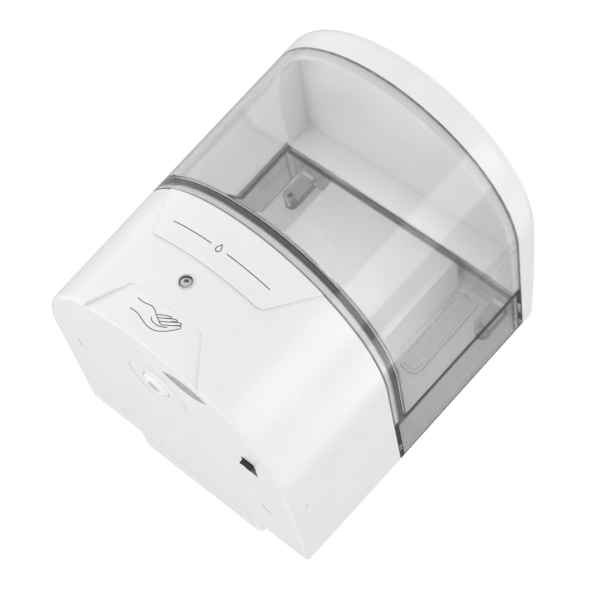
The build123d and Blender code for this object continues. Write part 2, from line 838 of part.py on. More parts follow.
with BuildPart() as battery_case:
    extrude(back_plate(tank_wall + fit_gap, z_bay_low + fit_gap, z_bay_top - fit_gap), amount=case_plate_t)
    with BuildSketch(Plane.XZ.offset(-y_back)):
        with Locations((0, (z_case_low + z_case_top) / 2)):
            Rectangle(2 * case_half, z_case_top - z_case_low)
    extrude(amount=y_back - case_front)
    # tongues that drop into the tank's floor
    with BuildSketch(Plane.XY.offset(z_bay_low - tongue_bite)):
        with Locations(*tongue_points):
            Rectangle(tongue_w, tongue_t)
    extrude(amount=tongue_bite + case_plate_t)
    # boss for the door's screw
    with BuildSketch(Plane.XZ.offset(-y_back)):
        with Locations((0, door_screw_z)):
            Circle(door_tail / 2)
    extrude(amount=shank_length + door_t)
    # room for the cells and the rebate of the door
    with BuildSketch(Plane.XZ.offset(-y_back)):
        with Locations((0, (z_cell_low + z_cell_top) / 2)):
            Rectangle(2 * cell_half, z_cell_top - z_cell_low)
    extrude(amount=y_back - case_front - case_wall, mode=Mode.SUBTRACT)
    door_low = z_case_low - door_tail
    door_top = z_cell_top + door_ledge
    door_half = cell_half + door_ledge
    with BuildSketch(Plane.XZ.offset(-y_back)):
        with Locations((0, (door_low + door_top) / 2)):
            Rectangle(2 * door_half, door_top - door_low)
    extrude(amount=door_t, mode=Mode.SUBTRACT)
    # ribs that cradle the cells
    for z in (z_cell_low + cradle_gap, z_cell_top - cradle_gap - cradle_t):
        with BuildSketch(Plane.XY.offset(z)):
            rib_low = case_front + case_wall / 2
            with Locations((0, (rib_low + y_cell) / 2)):
                Rectangle(2 * cell_half, y_cell - rib_low)
            with Locations((0, y_cell)):
                with GridLocations(cell_pitch, 1, 4, 1):
                    Circle(cell_r + slip_gap, mode=Mode.SUBTRACT)
            with Locations((0, y_cell - cell_r / 4)):
                Rectangle(2 * cell_half, cell_r / 2, mode=Mode.SUBTRACT)
        extrude(amount=cradle_t)
    # studs that hang in the bracket's sockets
    with BuildSketch(Plane.XZ.offset(-y_back)):
        with Locations(*stud_points):
            Rectangle(stud_neck, stud_height)
    extrude(amount=-stud_neck_out)
    with BuildSketch(Plane.XZ.offset(-y_back - stud_neck_out)):
        with Locations(*stud_points):
            Rectangle(stud_head, stud_height)
    extrude(amount=-stud_head_t)
    # screw holes
    with BuildSketch(Plane.XZ.offset(-y_back)):
        with Locations(*case_screw_points):
            Circle(head_r + slip_gap)
    extrude(amount=head_pocket, mode=Mode.SUBTRACT)
    with BuildSketch(Plane.XZ.offset(-y_back)):
        with Locations(*case_screw_points):
            Circle(shank_hole_r)
    extrude(amount=case_plate_t, mode=Mode.SUBTRACT)
    with BuildSketch(Plane.XZ.offset(-y_back)):
        with Locations((0, door_screw_z)):
            Circle(shank_r + shaft_gap)
    extrude(amount=shank_length + door_t - press_gap, mode=Mode.SUBTRACT)
battery_case.part.label = "battery_case"
export_step(battery_case.part, "parts/battery_case.step")

with BuildPart() as case_screws:
    with BuildSketch(Plane.XZ.offset(-(y_back - head_pocket))):
        with Locations(*case_screw_points):
            Circle(head_r)
    extrude(amount=-head_t)
    with BuildSketch(Plane.XZ.offset(-(y_back - head_pocket))):
        with Locations(*case_screw_points):
            Circle(shank_r)
    extrude(amount=shank_length)
case_screws.part.label = "case_screws"
export_step(case_screws.part, "parts/case_screws.step")

with BuildPart() as battery_door:
    with BuildSketch(Plane.XZ.offset(-y_back)):
        with Locations((0, (door_low + door_top) / 2)):
            RectangleRounded(2 * (door_half - fit_gap), door_top - door_low - 2 * fit_gap, door_ledge)
    extrude(amount=door_t)
    with BuildSketch(Plane.XZ.offset(-y_back)):
        with Locations((0, door_screw_z)):
            Circle(head_r - shaft_gap)
    extrude(amount=head_pocket, mode=Mode.SUBTRACT)
    with BuildSketch(Plane.XZ.offset(-y_back)):
        with Locations((0, door_screw_z)):
            Circle(shank_hole_r)
    extrude(amount=door_t, mode=Mode.SUBTRACT)
battery_door.part.label = "battery_door"
export_step(battery_door.part, "parts/battery_door.step")

with BuildPart() as battery_door_screw:
    with BuildSketch(Plane.XZ.offset(-(y_back - head_pocket))):
        with Locations((0, door_screw_z)):
            Circle(head_r - slip_gap - shaft_gap)
    extrude(amount=-head_t)
    with BuildSketch(Plane.XZ.offset(-(y_back - head_pocket))):
        with Locations((0, door_screw_z)):
            Circle(shank_r)
    extrude(amount=shank_length)
battery_door_screw.part.label = "battery_door_screw"
export_step(battery_door_screw.part, "parts/battery_door_screw.step")

# Cells stand side by side, every second one upside down
cell_xs = [(i - 1.5) * cell_pitch for i in range(4)]
up_cells = cell_xs[0::2]
down_cells = cell_xs[1::2]
z_up_low = z_cell_top - contact_t - nub_height - cell_body
z_down_low = z_cell_low + contact_t + nub_height

with BuildPart() as aa_cells:
    for xs, low, nub, turn in (
        (up_cells, z_up_low, z_up_low + cell_body, 1),
        (down_cells, z_down_low, z_down_low, -1),
    ):
        with BuildSketch(Plane.XY.offset(low)):
            with Locations(*[(x, y_cell) for x in xs]):
                Circle(cell_r)
        extrude(amount=cell_body)
        with BuildSketch(Plane.XY.offset(nub)):
            with Locations(*[(x, y_cell) for x in xs]):
                Circle(nub_r)
        extrude(amount=turn * nub_height)
aa_cells.part.label = "aa_cells"
export_step(aa_cells.part, "parts/aa_cells.step")

with BuildPart() as battery_contacts:
    for xs, plate, foot, crown in (
        (up_cells, z_cell_top - contact_t, z_cell_low, z_up_low),
        (down_cells, z_cell_low, z_cell_top, z_down_low + cell_body),
    ):
        with BuildSketch(Plane.XY.offset(plate)):
            with Locations(*[(x, y_cell) for x in xs]):
                Rectangle(contact_width, contact_width)
        extrude(amount=contact_t)
        bow = contact_width / 2
        lean = contact_t if crown > foot else -contact_t
        for x in xs:
            with BuildSketch(Plane.XZ.offset(-(y_cell + bow / 2))):
                with BuildLine():
                    ThreePointArc((x - bow, foot), (x, crown), (x + bow, foot))
                    Line((x + bow, foot), (x + bow - contact_t, foot))
                    ThreePointArc((x + bow - contact_t, foot), (x, crown - lean), (x - bow + contact_t, foot))
                    Line((x - bow + contact_t, foot), (x - bow, foot))
                make_face()
            extrude(amount=bow)
battery_contacts.part.label = "battery_contacts"
export_step(battery_contacts.part, "parts/battery_contacts.step")

# Wall bracket
z_bracket_top = z_under + bracket_height
z_ear = z_bracket_top - ear_height
bracket_front = y_back + bracket_gap
web_back = y_back + stud_neck_out - bracket_gap
web_front = web_back - socket_web
hole_points = [(sx * wall_hole_x / 2, sz * wall_hole_z / 2) for sx in (-1, 1) for sz in (-1, 1)]
with BuildPart() as wall_bracket:
    with BuildSketch(Plane.XZ):
        with Locations((0, (z_under + z_bracket_top) / 2)):
            Rectangle(2 * bracket_half, bracket_height)
        with Locations((0, (z_ear + z_bracket_top) / 2)):
            RectangleRounded(2 * ear_half, ear_height, bracket_corner_r)
    extrude(amount=bracket_plate)
    # side walls and floor that hold the dispenser off the wall
    with BuildSketch(Plane.XZ.offset(bracket_plate)):
        with Locations((0, (z_under + z_ear) / 2)):
            Rectangle(2 * bracket_half, z_ear - z_under)
        with Locations((0, (z_under + bracket_wall + z_ear) / 2)):
            Rectangle(2 * (bracket_half - bracket_wall), z_ear - z_under - bracket_wall, mode=Mode.SUBTRACT)
    extrude(amount=-bracket_front - bracket_plate)
    # open topped sockets for the studs
    with BuildSketch(Plane.XZ.offset(bracket_plate)):
        with Locations((-stud_x, (z_ear + z_bracket_top) / 2), (stud_x, (z_ear + z_bracket_top) / 2)):
            Rectangle(socket_width, ear_height)
    extrude(amount=-web_front - bracket_plate)
    slot_mid = (z_stud_low + z_bracket_top) / 2
    with BuildSketch(Plane.XZ.offset(bracket_plate)):
        with Locations((-stud_x, slot_mid), (stud_x, slot_mid)):
            Rectangle(stud_head + 2 * fit_gap, z_bracket_top - z_stud_low)
    extrude(amount=-web_back - bracket_plate, mode=Mode.SUBTRACT)
    with BuildSketch(Plane.XZ.offset(bracket_plate)):
        with Locations((-stud_x, slot_mid), (stud_x, slot_mid)):
            Rectangle(stud_neck + 2 * fit_gap, z_bracket_top - z_stud_low)
    extrude(amount=-web_front - bracket_plate, mode=Mode.SUBTRACT)
    # holes for the wall screws
    with BuildSketch(Plane.XZ):
        with Locations(*hole_points):
            Circle(wall_hole_r)
    extrude(amount=bracket_plate, mode=Mode.SUBTRACT)
    outer_corners = wall_bracket.edges().filter_by(Axis.Y).filter_by(
        lambda e: abs(e.center().Z - z_under) < press_gap and abs(abs(e.center().X) - bracket_half) < press_gap
    )
    fillet(outer_corners, bracket_wall - press_gap)
wall_bracket.part.label = "wall_bracket"
export_step(wall_bracket.part, "parts/wall_bracket.step")


# Pump
def pump_outline(x):
    """Pump outline round both gears, with a square foot."""
    with BuildSketch(Plane.YZ.offset(x)) as outline:
        with Locations((y_pump, z_port)):
            SlotCenterToCenter(2 * gear_pitch_r, 2 * pump_r, rotation=90)
        with Locations((y_pump, z_pump - pump_r / 2)):
            Rectangle(2 * pump_r, pump_r)
    return outline.sketch


screw_reach = pump_screw_circle / sqrt(2)
foot_reach = pump_r - pump_head_r - slip_gap
pump_screw_points = [
    (y_pump - screw_reach, z_idler + screw_reach),
    (y_pump + screw_reach, z_idler + screw_reach),
    (y_pump - foot_reach, z_pump - foot_reach),
    (y_pump + foot_reach, z_pump - foot_reach),
]

with BuildPart() as pump_body:
    extrude(pump_outline(pump_low_x), amount=pump_high_x - pump_low_x)
    with BuildSketch(Plane.XZ.offset(-(y_pump + pump_r + nipple_length))):
        with Locations((0, z_port)):
            Circle(tube_bore_r - shaft_gap)
    extrude(amount=2 * (pump_r + nipple_length))
    with BuildSketch(Plane.XZ.offset(-(y_pump + pump_r + nipple_length))):
        with Locations((0, z_port)):
            Circle(barb_bore_r)
    extrude(amount=2 * (pump_r + nipple_length), mode=Mode.SUBTRACT)
    with BuildSketch(Plane.YZ.offset(-chamber_width / 2)):
        with Locations((y_pump, z_pump), (y_pump, z_idler)):
            Circle(gear_tip_r + chamber_gap)
    extrude(amount=chamber_width, mode=Mode.SUBTRACT)
    with BuildSketch(Plane.YZ.offset(pump_low_x)):
        with Locations((y_pump, z_pump)):
            Circle(shaft_r + shaft_gap)
    extrude(amount=pump_back, mode=Mode.SUBTRACT)
    with BuildSketch(Plane.YZ.offset(pump_low_x)):
        with Locations((y_pump, z_pump)):
            Circle(seal_r)
    extrude(amount=seal_t, mode=Mode.SUBTRACT)
    with BuildSketch(Plane.YZ.offset(-chamber_width / 2 - pin_bite)):
        with Locations((y_pump, z_idler)):
            Circle(shaft_r + press_gap)
    extrude(amount=pin_bite, mode=Mode.SUBTRACT)
    with BuildSketch(Plane.YZ.offset(pump_high_x)):
        with Locations(*pump_screw_points):
            Circle(pump_screw_r + shaft_gap)
    extrude(amount=-chamber_width, mode=Mode.SUBTRACT)
pump_body.part.label = "pump_body"
export_step(pump_body.part, "parts/pump_body.step")

with BuildPart() as pump_cover:
    extrude(pump_outline(pump_high_x), amount=pump_cover_t)
    with BuildSketch(Plane.YZ.offset(pump_high_x)):
        with Locations((y_pump, z_pump)):
            Circle(shaft_r + shaft_gap)
        with Locations((y_pump, z_idler)):
            Circle(shaft_r + press_gap)
    extrude(amount=pin_bite, mode=Mode.SUBTRACT)
    with BuildSketch(Plane.YZ.offset(pump_high_x)):
        with Locations(*pump_screw_points):
            Circle(pump_screw_r + slip_gap)
    extrude(amount=pump_cover_t, mode=Mode.SUBTRACT)
pump_cover.part.label = "pump_cover"
export_step(pump_cover.part, "parts/pump_cover.step")

with BuildPart() as pump_screws:
    with BuildSketch(Plane.YZ.offset(pump_high_x + pump_cover_t)):
        with Locations(*pump_screw_points):
            Circle(pump_head_r)
    extrude(amount=pump_head_t)
    with BuildSketch(Plane.YZ.offset(pump_high_x + pump_cover_t)):
        with Locations(*pump_screw_points):
            Circle(pump_screw_r)
    extrude(amount=-pump_cover_t - chamber_width + fit_gap)
pump_screws.part.label = "pump_screws"
export_step(pump_screws.part, "parts/pump_screws.step")

# Involute tooth on the local X axis
gear_base_r = gear_pitch_r * cos(radians(gear_pressure))
half_tooth = pi / (2 * gear_teeth) - gear_backlash / (2 * gear_pitch_r)
pitch_inv = tan(radians(gear_pressure)) - radians(gear_pressure)


def flank(r, side):
    """Point on a tooth's flank at radius r."""
    pressure = acos(gear_base_r / r)
    turn = side * (half_tooth + pitch_inv - (tan(pressure) - pressure))
    return (r * cos(turn), r * sin(turn))


flank_rs = [gear_base_r + (gear_tip_r - gear_base_r) * i / 4 for i in range(5)]
foot_turn = half_tooth + pitch_inv
tooth_foot_r = gear_root_r - gear_backlash * 3
with BuildSketch() as tooth:
    with BuildLine():
        Line(
            (tooth_foot_r * cos(foot_turn), -tooth_foot_r * sin(foot_turn)),
            flank(gear_base_r, -1),
        )
        Spline(*[flank(r, -1) for r in flank_rs])
        ThreePointArc(flank(gear_tip_r, -1), (gear_tip_r, 0), flank(gear_tip_r, 1))
        Spline(*[flank(r, 1) for r in reversed(flank_rs)])
        Polyline(
            flank(gear_base_r, 1),
            (tooth_foot_r * cos(foot_turn), tooth_foot_r * sin(foot_turn)),
            (tooth_foot_r * cos(foot_turn), -tooth_foot_r * sin(foot_turn)),
        )
    make_face()

with BuildPart() as drive_gear:
    with BuildSketch(Plane.YZ.offset(-gear_width / 2)):
        with Locations((y_pump, z_pump)):
            Circle(gear_root_r)
            with PolarLocations(0, gear_teeth):
                add(tooth.sketch)
            Circle(shaft_r + press_gap, mode=Mode.SUBTRACT)
    extrude(amount=gear_width)
drive_gear.part.label = "drive_gear"
export_step(drive_gear.part, "parts/drive_gear.step")

with BuildPart() as idler_gear:
    with BuildSketch(Plane.YZ.offset(-gear_width / 2)):
        with Locations((y_pump, z_idler)):
            Circle(gear_root_r)
            with PolarLocations(0, gear_teeth, start_angle=180 / gear_teeth):
                add(tooth.sketch)
            Circle(shaft_r + shaft_gap, mode=Mode.SUBTRACT)
    extrude(amount=gear_width)
idler_gear.part.label = "idler_gear"
export_step(idler_gear.part, "parts/idler_gear.step")

shaft_in_motor = motor_length + motor_tail - motor_can
with BuildPart() as motor_shaft:
    with BuildSketch(Plane.YZ.offset(pump_low_x - shaft_in_motor)):
        with Locations((y_pump, z_pump)):
            Circle(shaft_r)
    extrude(amount=shaft_in_motor + pump_back + chamber_width + pin_bite - fit_gap)
motor_shaft.part.label = "motor_shaft"
export_step(motor_shaft.part, "parts/motor_shaft.step")

with BuildPart() as idler_pin:
    with BuildSketch(Plane.YZ.offset(-chamber_width / 2 - pin_bite)):
        with Locations((y_pump, z_idler)):
            Circle(shaft_r)
    extrude(amount=chamber_width + 2 * pin_bite)
idler_pin.part.label = "idler_pin"
export_step(idler_pin.part, "parts/idler_pin.step")

with BuildPart() as shaft_seal:
    with BuildSketch(Plane.YZ.offset(pump_low_x)):
        with Locations((y_pump, z_pump)):
            Circle(seal_r - press_gap)
            Circle(shaft_r + shaft_gap, mode=Mode.SUBTRACT)
    extrude(amount=seal_t)
shaft_seal.part.label = "shaft_seal"
export_step(shaft_seal.part, "parts/shaft_seal.step")

with BuildPart() as pump_motor:
    with BuildSketch(Plane.YZ.offset(pump_low_x - motor_length)):
        with Locations((y_pump, z_pump)):
            Circle(motor_r)
    extrude(amount=motor_length)
    chamfer(pump_motor.edges().filter_by(GeomType.CIRCLE), motor_edge)
    with BuildSketch(Plane.YZ.offset(pump_low_x - motor_length)):
        with Locations((y_pump, z_pump)):
            Circle(motor_tail_r)
    extrude(amount=-motor_tail)
    with BuildSketch(Plane.YZ.offset(pump_low_x - motor_can)):
        with Locations((y_pump, z_pump)):
            Circle(motor_r - motor_can)
    extrude(amount=2 * motor_can - motor_length, mode=Mode.SUBTRACT)
    with BuildSketch(Plane.YZ.offset(pump_low_x)):
        with Locations((y_pump, z_pump)):
            Circle(shaft_r + shaft_gap)
    extrude(amount=-shaft_in_motor - fit_gap, mode=Mode.SUBTRACT)
pump_motor.part.label = "pump_motor"
export_step(pump_motor.part, "parts/pump_motor.step")

motor_mid_x = pump_low_x - motor_length / 2
magnet_r = motor_r - motor_can - shaft_gap
rotor_r = magnet_r - magnet_t - rotor_gap
with BuildPart() as motor_magnets:
    with BuildSketch(Plane.YZ.offset(motor_mid_x - magnet_length / 2)):
        with Locations((y_pump, z_pump)):
            Circle(magnet_r)
            Circle(magnet_r - magnet_t, mode=Mode.SUBTRACT)
            Rectangle(2 * motor_r, magnet_split, mode=Mode.SUBTRACT)
    extrude(amount=magnet_length)
motor_magnets.part.label = "motor_magnets"
export_step(motor_magnets.part, "parts/motor_magnets.step")

with BuildPart() as motor_rotor:
    with BuildSketch(Plane.YZ.offset(motor_mid_x - rotor_length / 2)):
        with Locations((y_pump, z_pump)):
            Circle(rotor_r)
            Circle(shaft_r + press_gap, mode=Mode.SUBTRACT)
            with PolarLocations((rotor_core_r + rotor_r) / 2 + rotor_gap, rotor_slots):
                Rectangle(rotor_r - rotor_core_r + rotor_gap, rotor_slot, mode=Mode.SUBTRACT)
    extrude(amount=rotor_length)
motor_rotor.part.label = "motor_rotor"
export_step(motor_rotor.part, "parts/motor_rotor.step")

# Soap path from the tank to the nozzle
y_inlet_face = y_pump + pump_r + slip_gap
y_outlet_face = y_pump - pump_r - slip_gap
z_outlet_low = z_slab - outlet_nut_t

with BuildPart() as inlet_tube:
    with BuildLine() as inlet_path:
        FilletPolyline(
            (0, y_inlet_face, z_port),
            (0, y_outlet, z_port),
            (0, y_outlet, z_outlet_low - slip_gap),
            radius=tube_bend,
        )
    with BuildSketch(Plane.XZ.offset(-y_inlet_face)):
        with Locations((0, z_port)):
            Circle(tube_r)
            Circle(tube_bore_r, mode=Mode.SUBTRACT)
    sweep(path=inlet_path.wires()[0])
inlet_tube.part.label = "inlet_tube"
export_step(inlet_tube.part, "parts/inlet_tube.step")

z_nozzle_top = z_floor + nozzle_flange_t
with BuildPart() as outlet_tube:
    with BuildLine() as outlet_path:
        FilletPolyline(
            (0, y_outlet_face, z_port),
            (0, y_nozzle, z_port),
            (0, y_nozzle, z_nozzle_top + slip_gap),
            radius=tube_bend,
        )
    with BuildSketch(Plane.XZ.offset(-y_outlet_face)):
        with Locations((0, z_port)):
            Circle(tube_r)
            Circle(tube_bore_r, mode=Mode.SUBTRACT)
    sweep(path=outlet_path.wires()[0])
outlet_tube.part.label = "outlet_tube"
export_step(outlet_tube.part, "parts/outlet_tube.step")

with BuildPart() as tank_outlet:
    z_flange = z_space + outlet_seal_t
    with BuildSketch(Plane.XY.offset(z_flange)):
        with Locations((0, y_outlet)):
            Circle(outlet_flange_r)
    extrude(amount=outlet_flange_t)
    with BuildSketch(Plane.XY.offset(z_flange)):
        with Locations((0, y_outlet)):
            Circle(outlet_stem_r)
    extrude(amount=z_outlet_low - z_flange)
    with BuildSketch(Plane.XY.offset(z_outlet_low)):
        with Locations((0, y_outlet)):
            Circle(tube_bore_r - shaft_gap)
    extrude(amount=-outlet_barb)
    with BuildSketch(Plane.XY.offset(z_outlet_low - outlet_barb)):
        with Locations((0, y_outlet)):
            Circle(barb_bore_r)
    extrude(amount=z_flange + outlet_flange_t - z_outlet_low + outlet_barb, mode=Mode.SUBTRACT)
tank_outlet.part.label = "tank_outlet"
export_step(tank_outlet.part, "parts/tank_outlet.step")

with BuildPart() as outlet_nut:
    with BuildSketch(Plane.XY.offset(z_slab)):
        with Locations((0, y_outlet)):
            RegularPolygon(outlet_nut_r, 6)
            Circle(outlet_stem_r + shaft_gap, mode=Mode.SUBTRACT)
    extrude(amount=-outlet_nut_t)
outlet_nut.part.label = "outlet_nut"
export_step(outlet_nut.part, "parts/outlet_nut.step")

with BuildPart() as outlet_seal:
    with BuildSketch(Plane.XY.offset(z_space)):
        with Locations((0, y_outlet)):
            Circle(outlet_flange_r - outlet_seal_inset)
            Circle(outlet_stem_r + slip_gap, mode=Mode.SUBTRACT)
    extrude(amount=outlet_seal_t)
outlet_seal.part.label = "outlet_seal"
export_step(outlet_seal.part, "parts/outlet_seal.step")

with BuildPart() as outlet_strainer:
    z_strainer = z_flange + outlet_flange_t
    with BuildSketch(Plane.XY.offset(z_strainer)):
        with Locations((0, y_outlet)):
            Circle(strainer_r)
    extrude(amount=strainer_height)
    with BuildSketch(Plane.XY.offset(z_strainer)):
        with Locations((0, y_outlet)):
            Circle(strainer_r - strainer_wall)
    extrude(amount=strainer_height - strainer_wall, mode=Mode.SUBTRACT)
    with BuildSketch(Plane.XY.offset(z_strainer + strainer_wall)):
        with Locations((0, y_outlet)):
            with PolarLocations(0, strainer_slots // 2, angular_range=180):
                Rectangle(2 * strainer_r + strainer_wall, strainer_slot)
    extrude(amount=strainer_height - 2 * strainer_wall, mode=Mode.SUBTRACT)
outlet_strainer.part.label = "outlet_strainer"
export_step(outlet_strainer.part, "parts/outlet_strainer.step")

with BuildPart() as nozzle:
    z_tip = z_under - nozzle_drop
    with BuildSketch(Plane.XZ.offset(-y_nozzle)):
        with BuildLine():
            Polyline(
                (barb_bore_r, z_nozzle_top + nozzle_barb),
                (tube_bore_r - shaft_gap, z_nozzle_top + nozzle_barb),
                (tube_bore_r - shaft_gap, z_nozzle_top),
                (nozzle_flange_r, z_nozzle_top),
                (nozzle_flange_r, z_floor),
                (nozzle_r, z_floor),
                (nozzle_r, z_under),
                (nozzle_tip_r, z_tip),
                (valve_r + press_gap, z_tip),
                (valve_r + press_gap, z_under + valve_seat_up),
                (barb_bore_r, z_under + valve_seat_up),
                close=True,
            )
        make_face()
    revolve(axis=Axis((0, y_nozzle, 0), (0, 0, 1)))
nozzle.part.label = "nozzle"
export_step(nozzle.part, "parts/nozzle.step")

with BuildPart() as nozzle_valve:
    z_collar = z_under + valve_seat_up - valve_collar
    with BuildSketch(Plane.XY.offset(z_collar)):
        with Locations((0, y_nozzle)):
            Circle(valve_r)
    extrude(amount=valve_collar)
    with BuildSketch(Plane.XY.offset(z_collar)):
        with Locations((0, y_nozzle)):
            Rectangle(valve_lip_w, valve_lip_w)
    with BuildSketch(Plane.XY.offset(z_tip + valve_set_back)):
        with Locations((0, y_nozzle)):
            Rectangle(valve_lip_w, valve_lip_t)
    loft(ruled=True)
nozzle_valve.part.label = "nozzle_valve"
export_step(nozzle_valve.part, "parts/nozzle_valve.step")

# Control board with the indicator
with BuildPart() as control_board:
    with BuildSketch(Plane.XZ.offset(-y_board)):
        with Locations((0, (z_board_low + z_board_top) / 2)):
            Rectangle(2 * board_half, z_board_top - z_board_low)
        with Locations(*board_post_points):
            Circle(board_screw_r + slip_gap, mode=Mode.SUBTRACT)
    extrude(amount=board_t)
control_board.part.label = "control_board"
export_step(control_board.part, "parts/control_board.step")

with BuildPart() as board_screws:
    with BuildSketch(Plane.XZ.offset(-y_board)):
        with Locations(*board_post_points):
            Circle(board_head_r)
    extrude(amount=-board_head_t)
    with BuildSketch(Plane.XZ.offset(-y_board)):
        with Locations(*board_post_points):
            Circle(board_screw_r)
    extrude(amount=y_board - post_end - board_post_bite - fit_gap)
board_screws.part.label = "board_screws"
export_step(board_screws.part, "parts/board_screws.step")

with BuildPart() as board_parts:
    z_mid = (z_board_low + z_board_top) / 2
    with BuildSketch(Plane.XZ.offset(-y_board)):
        with Locations((-chip_w, z_mid)):
            Rectangle(chip_w, chip_h)
    extrude(amount=-chip_t)
    with BuildSketch(Plane.XZ.offset(-y_board)):
        with Locations((0, z_board_top - plug_h)):
            Rectangle(plug_w, plug_h)
    extrude(amount=-plug_t)
    with BuildSketch(Plane.XZ.offset(-y_board)):
        with Locations((chip_w, z_mid)):
            Circle(can_r)
    extrude(amount=-can_length)
board_parts.part.label = "board_parts"
export_step(board_parts.part, "parts/board_parts.step")

y_led_front = y_flat - led_half
with BuildPart() as indicator_led:
    y_led_foot = y_board - board_t - led_stand
    y_dome = y_led_front - led_proud + led_r
    with BuildSketch(Plane.XZ.offset(-y_led_foot)):
        with Locations((0, z_under + led_up)):
            Circle(led_flange_r)
    extrude(amount=led_flange_t)
    with BuildSketch(Plane.XZ.offset(-y_led_foot)):
        with Locations((0, z_under + led_up)):
            Circle(led_r)
    extrude(amount=y_led_foot - y_dome)
    with Locations((0, y_dome, z_under + led_up)):
        Sphere(led_r)
    with BuildSketch(Plane.XZ.offset(-y_led_foot)):
        with Locations((-led_lead_x, z_under + led_up), (led_lead_x, z_under + led_up)):
            Circle(led_lead_r)
    extrude(amount=-led_stand)
indicator_led.part.label = "indicator_led"
export_step(indicator_led.part, "parts/indicator_led.step")

with BuildPart() as led_bezel:
    y_bezel = y_led_front + base_wall + bezel_back
    with BuildSketch(Plane.XZ.offset(-y_bezel)):
        with Locations((0, z_under + led_up)):
            Circle(bezel_r)
            Circle(led_r + slip_gap, mode=Mode.SUBTRACT)
    extrude(amount=y_bezel - y_led_front + bezel_proud)
led_bezel.part.label = "led_bezel"
export_step(led_bezel.part, "parts/led_bezel.step")

# Hand sensor over its window
z_sensor_board = z_under + sensor_board_up

with BuildPart() as sensor_board:
    with BuildSketch(Plane.XY.offset(z_sensor_board)):
        with Locations(
            ((sensor_board_low_x + sensor_board_high_x) / 2, y_board + slip_gap + sensor_board_depth / 2)
        ):
            Rectangle(sensor_board_high_x - sensor_board_low_x, sensor_board_depth)
    extrude(amount=board_t)
sensor_board.part.label = "sensor_board"
export_step(sensor_board.part, "parts/sensor_board.step")

with BuildPart() as ir_emitter:
    with BuildSketch(Plane.XY.offset(z_sensor_board)):
        with Locations((window_x - sensor_pitch / 2, y_window)):
            Circle(led_r)
    extrude(amount=sensor_lens_up + led_r - sensor_board_up)
    with Locations((window_x - sensor_pitch / 2, y_window, z_under + sensor_lens_up + led_r)):
        Sphere(led_r)
ir_emitter.part.label = "ir_emitter"
export_step(ir_emitter.part, "parts/ir_emitter.step")

with BuildPart() as ir_receiver:
    with BuildSketch(Plane.XY.offset(z_sensor_board)):
        with Locations((window_x + sensor_pitch / 2, y_window)):
            Circle(led_r)
    extrude(amount=sensor_lens_up + led_r - sensor_board_up)
    with Locations((window_x + sensor_pitch / 2, y_window, z_under + sensor_lens_up + led_r)):
        Sphere(led_r)
ir_receiver.part.label = "ir_receiver"
export_step(ir_receiver.part, "parts/ir_receiver.step")

with BuildPart() as sensor_window:
    extrude(eye(0, z_under + window_sunk), amount=base_floor - window_sunk)
    extrude(eye(window_flange, z_floor), amount=window_flange_t)
sensor_window.part.label = "sensor_window"
export_step(sensor_window.part, "parts/sensor_window.step")

# Power switch
z_pivot = z_under + rocker_pivot_up

with BuildPart() as switch_body:
    with BuildSketch(Plane.XY.offset(z_floor)):
        with Locations((switch_x, y_switch)):
            Rectangle(switch_body_w, switch_body_l)
    extrude(amount=switch_body_up)
    with BuildSketch(Plane.XY.offset(z_floor)):
        with Locations((switch_x, y_switch)):
            Rectangle(switch_window_w, switch_window_l)
    extrude(amount=switch_cavity_up, mode=Mode.SUBTRACT)
    with BuildSketch(Plane.YZ.offset(switch_x - rocker_w / 2 - rocker_pin - slip_gap)):
        with Locations((y_switch, z_pivot)):
            Circle(rocker_pin_r + shaft_gap)
    extrude(amount=rocker_w + 2 * rocker_pin + 2 * slip_gap, mode=Mode.SUBTRACT)
    with BuildSketch(Plane.XY.offset(z_floor + switch_body_up)):
        with Locations((switch_x, y_switch - tab_pitch / 2), (switch_x, y_switch + tab_pitch / 2)):
            Rectangle(tab_w, tab_t)
    extrude(amount=tab_length)
switch_body.part.label = "switch_body"
export_step(switch_body.part, "parts/switch_body.step")

rocker_plane = Plane(origin=(switch_x, y_switch, z_pivot), x_dir=(0, cos(tilt), sin(tilt)), z_dir=(1, 0, 0))

with BuildPart() as switch_rocker:
    with BuildSketch(rocker_plane.offset(-rocker_w / 2)):
        with BuildLine():
            Polyline(
                (-rocker_half, -rocker_end),
                (0, -rocker_face),
                (rocker_half, -rocker_end),
                (rocker_half, -rocker_shoulder),
                (rocker_crest_half, rocker_crest),
                (-rocker_crest_half, rocker_crest),
                (-rocker_half, -rocker_shoulder),
                close=True,
            )
        make_face()
    extrude(amount=rocker_w)
    with BuildSketch(rocker_plane.offset(-rocker_w / 2 - rocker_pin)):
        Circle(rocker_pin_r)
    extrude(amount=rocker_w + 2 * rocker_pin)
switch_rocker.part.label = "switch_rocker"
export_step(switch_rocker.part, "parts/switch_rocker.step")
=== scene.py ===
"""Looks of the wall mounted soap dispenser: camera, light, materials and the printed signs."""
import math

import bpy
from mathutils import Matrix, Vector
from mathutils.bvhtree import BVHTree


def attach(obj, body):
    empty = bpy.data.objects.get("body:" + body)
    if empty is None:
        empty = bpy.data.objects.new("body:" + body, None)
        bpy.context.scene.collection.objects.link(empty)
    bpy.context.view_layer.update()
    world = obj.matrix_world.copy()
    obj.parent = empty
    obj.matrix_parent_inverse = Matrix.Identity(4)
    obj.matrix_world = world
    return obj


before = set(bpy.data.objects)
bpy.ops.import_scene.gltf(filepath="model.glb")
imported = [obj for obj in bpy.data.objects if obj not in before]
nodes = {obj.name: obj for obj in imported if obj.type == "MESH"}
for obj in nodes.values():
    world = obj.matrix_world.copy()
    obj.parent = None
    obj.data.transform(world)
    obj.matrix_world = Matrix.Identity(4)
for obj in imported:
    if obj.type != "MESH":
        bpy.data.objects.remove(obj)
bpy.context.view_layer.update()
scene = bpy.context.scene
MM = 0.001

